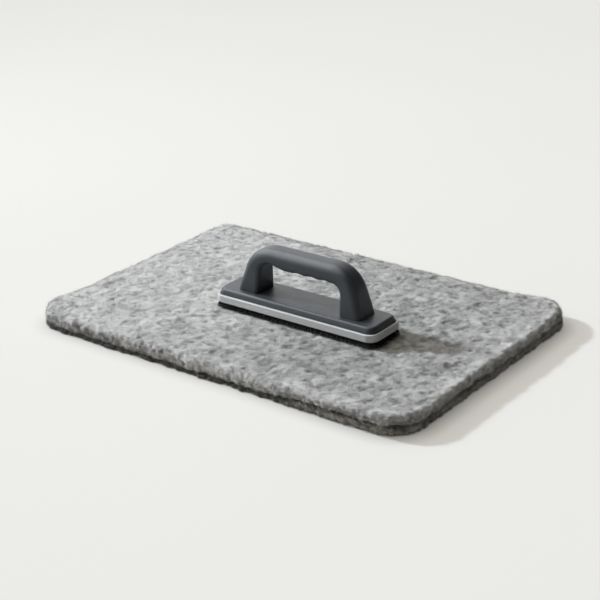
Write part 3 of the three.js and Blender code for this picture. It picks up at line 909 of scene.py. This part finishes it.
def wool_finish(name, colours):
    """Heathered wool: each strand's tone, which holds painted light and shade as well as the wool's own
    heather, finely streaked, with a soft sheen.
    """
    finish = Finish(name, Sheen_Weight=0.4, Sheen_Roughness=0.5, Specular_IOR_Level=0.1)
    tone = finish.node("ShaderNodeAttribute", attribute_name="tone").outputs["Fac"]
    streaks = finish.spread(finish.noise(0.9 * MM), -0.12, 0.12)
    stops = list(zip(WOOL_TONES, colours))
    finish.feed(
        Base_Color=finish.ramp(finish.add(tone, streaks), stops),
        Roughness=finish.spread(finish.noise(2 * MM), 0.88, 1.0),
    )
    finish.bump(finish.noise(0.5 * MM), 0.15 * MM, 0.6)
    return finish.material


def moulded_finish(name, colour, roughness, grain, grain_depth):
    """Moulded plastic: faint flow marks in its colour, and a fine grain that breaks up its shine."""
    finish = Finish(name, Specular_IOR_Level=0.3)
    flow = finish.noise(14 * MM, 4.0, (3, 1, 1))
    stops = [(0.3, tint(colour, 0.95)), (0.7, tint(colour, 1.05))]
    wear = finish.noise(6 * MM, 5.0)
    finish.feed(
        Base_Color=finish.ramp(flow, stops),
        Roughness=finish.spread(wear, roughness - 0.03, roughness + 0.03),
    )
    finish.bump(finish.noise(grain, 2.0), grain_depth, 0.5)
    return finish.material


def silver_finish():
    """Satin silver with fine lines along the band."""
    finish = Finish("satin_silver", Metallic=0.1, Specular_IOR_Level=0.1)
    lines = finish.noise(0.5 * MM, 3.0, (40, 40, 1))
    stops = [(0.3, tint(TRIM_COLOUR, 0.93)), (0.7, tint(TRIM_COLOUR, 1.05))]
    finish.feed(
        Base_Color=finish.ramp(lines, stops),
        Roughness=finish.spread(finish.noise(5 * MM, 4.0), 0.52, 0.62),
    )
    finish.bump(lines, 0.02 * MM, 0.4)
    return finish.material


def plated_finish():
    """Zinc plating: bright, with cloudy patches."""
    finish = Finish("zinc_plating", Metallic=1.0)
    cloud = finish.noise(1.5 * MM, 4.0)
    finish.feed(
        Base_Color=finish.ramp(cloud, list(zip((0.3, 0.7), ZINC_COLOURS))),
        Roughness=finish.spread(cloud, 0.28, 0.45),
    )
    finish.bump(finish.noise(0.3 * MM), 0.01 * MM, 0.5)
    return finish.material


def web_finish():
    """A melted web of glue: threads with bare spots between them."""
    finish = Finish("melted_web")
    threads = finish.noise(2.5 * MM, 6.0)
    finish.feed(
        Base_Color=finish.ramp(threads, list(zip((0.4, 0.6), WEB_COLOURS))),
        Roughness=finish.spread(threads, 0.4, 0.7),
    )
    finish.bump(threads, 0.2 * MM)
    return finish.material


def filament_finish():
    """Black bristles, a little greyer from one to the next."""
    finish = Finish("black_filament", Specular_IOR_Level=0.2)
    shade = finish.noise(1.2 * MM, 2.0)
    finish.feed(
        Base_Color=finish.ramp(shade, list(zip((0.35, 0.7), FILAMENT_COLOURS))),
        Roughness=finish.spread(shade, 0.45, 0.65),
    )
    finish.bump(finish.noise(0.2 * MM), 0.02 * MM, 0.4)
    return finish.material


def soft_shading():
    """Joins a solid's loose faces and shades it smoothly, except over sharp edges."""
    group = bpy.data.node_groups.new("soft_shading", "GeometryNodeTree")
    group.interface.new_socket("Geometry", in_out="INPUT", socket_type="NodeSocketGeometry")
    group.interface.new_socket("Geometry", in_out="OUTPUT", socket_type="NodeSocketGeometry")
    enter = group.nodes.new("NodeGroupInput")
    leave = group.nodes.new("NodeGroupOutput")
    merge = group.nodes.new("GeometryNodeMergeByDistance")
    merge.inputs["Distance"].default_value = MERGE_DISTANCE
    faces = group.nodes.new("GeometryNodeSetShadeSmooth")
    edges = group.nodes.new("GeometryNodeSetShadeSmooth")
    edges.domain = "EDGE"
    angle = group.nodes.new("GeometryNodeInputMeshEdgeAngle")
    gentle = group.nodes.new("FunctionNodeCompare")
    gentle.operation = "LESS_EQUAL"
    gentle.inputs["B"].default_value = SHARP_ANGLE
    link = group.links.new
    link(enter.outputs["Geometry"], merge.inputs["Geometry"])
    link(merge.outputs["Geometry"], faces.inputs["Geometry"])
    link(faces.outputs["Geometry"], edges.inputs["Geometry"])
    link(angle.outputs["Unsigned Angle"], gentle.inputs["A"])
    link(gentle.outputs["Result"], edges.inputs["Shade Smooth"])
    link(edges.outputs["Geometry"], leave.inputs["Geometry"])
    return group


def finish_solids():
    """Gives each solid that stays its finish, by its slot in the record, and smooth shading."""
    finishes = {
        "web": web_finish(),
        "block": moulded_finish("block_plastic", BLOCK_COLOUR, 0.6, 0.4 * MM, 0.04 * MM),
        "trim": silver_finish(),
        "body": moulded_finish("slate_plastic", BODY_COLOUR, 0.45, 0.35 * MM, 0.012 * MM),
        "screw": plated_finish(),
    }
    shading = soft_shading()
    for part in frame["record"]["subparts"]:
        if part["material_slot"] not in finishes:
            continue
        solid = frame["nodes"][part["node"]]
        solid.data.materials.clear()
        solid.data.materials.append(finishes[part["material_slot"]])
        solid.modifiers.new("soft_shading", "NODES").node_group = shading
        smooth = solid.modifiers.new("even_normals", "WEIGHTED_NORMAL")
        smooth.keep_sharp = True


# Studio


def seen_share(nodes, link):
    """1 for what the camera sees, by itself, in a shine or through glass, and 0 for light on things."""
    rays = nodes.new("ShaderNodeLightPath")
    seen = rays.outputs["Is Camera Ray"]
    for kind in ("Is Glossy Ray", "Is Transmission Ray"):
        either = nodes.new("ShaderNodeMath")
        either.operation = "MAXIMUM"
        link(seen, either.inputs[0])
        link(rays.outputs[kind], either.inputs[1])
        seen = either.outputs[0]
    return seen


def make_floor():
    """A pale floor, whose faint glow keeps shadows on it light except close to what casts them."""
    glow_colour = (*FLOOR_GLOW, 1)
    finish = Finish("pale_floor", Specular_IOR_Level=0.0, Roughness=0.9, Emission_Color=glow_colour)
    cloud = finish.noise(0.6, 2.0)
    stops = [(0.3, tint(FLOOR_COLOUR, 0.99)), (0.7, tint(FLOOR_COLOUR, 1.01))]
    clear = finish.node("ShaderNodeAmbientOcclusion", {"Distance": GLOW_REACH}).outputs["AO"]
    glow = finish.node("ShaderNodeMath", {0: clear, 1: GLOW_FALL}, operation="POWER").outputs[0]
    finish.feed(Base_Color=finish.ramp(cloud, stops), Emission_Strength=glow)
    reach = FLOOR_SIZE / 2
    mesh = bpy.data.meshes.new("floor")
    corners = [(-reach, -reach, 0), (reach, -reach, 0), (reach, reach, 0), (-reach, reach, 0)]
    mesh.from_pydata(corners, [], [(0, 1, 2, 3)])
    mesh.materials.append(finish.material)
    floor = bpy.data.objects.new("floor", mesh)
    bpy.context.scene.collection.objects.link(floor)


def make_room():
    """Soft light from all round that fades to the dark side of the room, and is white where it is seen."""
    world = bpy.data.worlds.new("room")
    bpy.context.scene.world = world
    world.use_nodes = True
    nodes = world.node_tree.nodes
    link = world.node_tree.links.new
    direction = nodes.new("ShaderNodeTexCoord").outputs["Generated"]
    facing = nodes.new("ShaderNodeVectorMath")
    facing.operation = "DOT_PRODUCT"
    facing.inputs[1].default_value = ROOM_DARK_SIDE.normalized()
    link(direction, facing.inputs[0])
    mix = nodes.new("ShaderNodeMixShader")
    link(seen_share(nodes, link), mix.inputs[0])
    looks = [(nodes["Background"], ROOM_COLOUR, ROOM_STRENGTH)]
    looks.append((nodes.new("ShaderNodeBackground"), (1, 1, 1), BACKGROUND_WHITE))
    for number, (background, colour, strength) in enumerate(looks, 1):
        fade = nodes.new("ShaderNodeMapRange")
        fade.interpolation_type = "SMOOTHSTEP"
        fade.inputs["From Min"].default_value = ROOM_FADE[0]
        fade.inputs["From Max"].default_value = ROOM_FADE[1]
        fade.inputs["To Min"].default_value = strength
        fade.inputs["To Max"].default_value = strength * ROOM_DARK_SHARE
        link(facing.outputs["Value"], fade.inputs["Value"])
        background.inputs["Color"].default_value = (*colour, 1)
        link(fade.outputs["Result"], background.inputs["Strength"])
        link(background.outputs["Background"], mix.inputs[number])
    link(mix.outputs["Shader"], nodes["World Output"].inputs["Surface"])


def add_lamp(name, kind, energy, place, towards, **settings):
    lamp = bpy.data.lights.new(name, kind)
    lamp.energy = energy
    for key, value in settings.items():
        setattr(lamp, key, value)
    holder = bpy.data.objects.new(name, lamp)
    holder.location = place
    holder.rotation_mode = "QUATERNION"
    holder.rotation_quaternion = (towards - place).to_track_quat("-Z", "Y")
    bpy.context.scene.collection.objects.link(holder)
    return holder


def make_lights():
    """A soft key light low on the left that leaves no glare, a wide weak one that falls off across the mat,
    and two that show only as sheen.
    """
    middle = Vector((0, 0, 0))
    from_left = Vector((-math.cos(KEY_TURN), -math.sin(KEY_TURN), math.tan(KEY_ELEVATION)))
    key_place = from_left.normalized() * KEY_DISTANCE
    key = add_lamp("key", "SUN", KEY_STRENGTH, key_place, middle, angle=KEY_WIDTH, color=KEY_COLOUR)
    key.visible_glossy = False
    wide = {"size": SIDE_LIGHT_SIZE, "color": KEY_COLOUR}
    add_lamp("side", "AREA", SIDE_LIGHT_POWER, SIDE_LIGHT_PLACE, middle, **wide)
    shines = [
        ("shine", SHINE_POWER, SHINE_PLACE, SHINE_SIZE),
        ("back_shine", BACK_SHINE_POWER, BACK_SHINE_PLACE, BACK_SHINE_SIZE),
    ]
    for name, power, place, size in shines:
        add_lamp(name, "AREA", power, place, middle, size=size).visible_diffuse = False


def make_camera():
    """The camera at the picture's own place, turned by its yaw, pitch and roll."""
    level_right = Vector((math.cos(CAMERA_YAW), math.sin(CAMERA_YAW), 0))
    ahead = Vector(
        (
            -math.sin(CAMERA_YAW) * math.cos(CAMERA_PITCH),
            math.cos(CAMERA_YAW) * math.cos(CAMERA_PITCH),
            -math.sin(CAMERA_PITCH),
        )
    )
    level_down = ahead.cross(level_right)
    right = level_right * math.cos(CAMERA_ROLL) + level_down * math.sin(CAMERA_ROLL)
    down = level_down * math.cos(CAMERA_ROLL) - level_right * math.sin(CAMERA_ROLL)
    lens = bpy.data.cameras.new("camera")
    lens.sensor_width = SENSOR_WIDTH
    lens.lens = SENSOR_WIDTH * FOCAL_PIXELS / FRAME_PIXELS
    camera = bpy.data.objects.new("camera", lens)
    turn = Matrix((right, -down, -ahead)).transposed()
    camera.matrix_world = Matrix.Translation(CAMERA_PLACE) @ turn.to_4x4()
    bpy.context.scene.collection.objects.link(camera)
    bpy.context.scene.camera = camera


def make_mat():
    """Both plies with their wool."""
    for ply, colours in ((UPPER, UPPER_WOOL), (LOWER, LOWER_WOOL)):
        finish = wool_finish(f"{ply.node}_finish", colours)
        form = felt_piece(ply, finish)
        wool_locks(ply, form, finish)
        stray_hairs(ply, form, finish)


make_mat()
bristle_piece(filament_finish())
finish_solids()
make_floor()
make_room()
make_lights()
make_camera()
bpy.context.scene.view_settings.view_transform = "Standard"
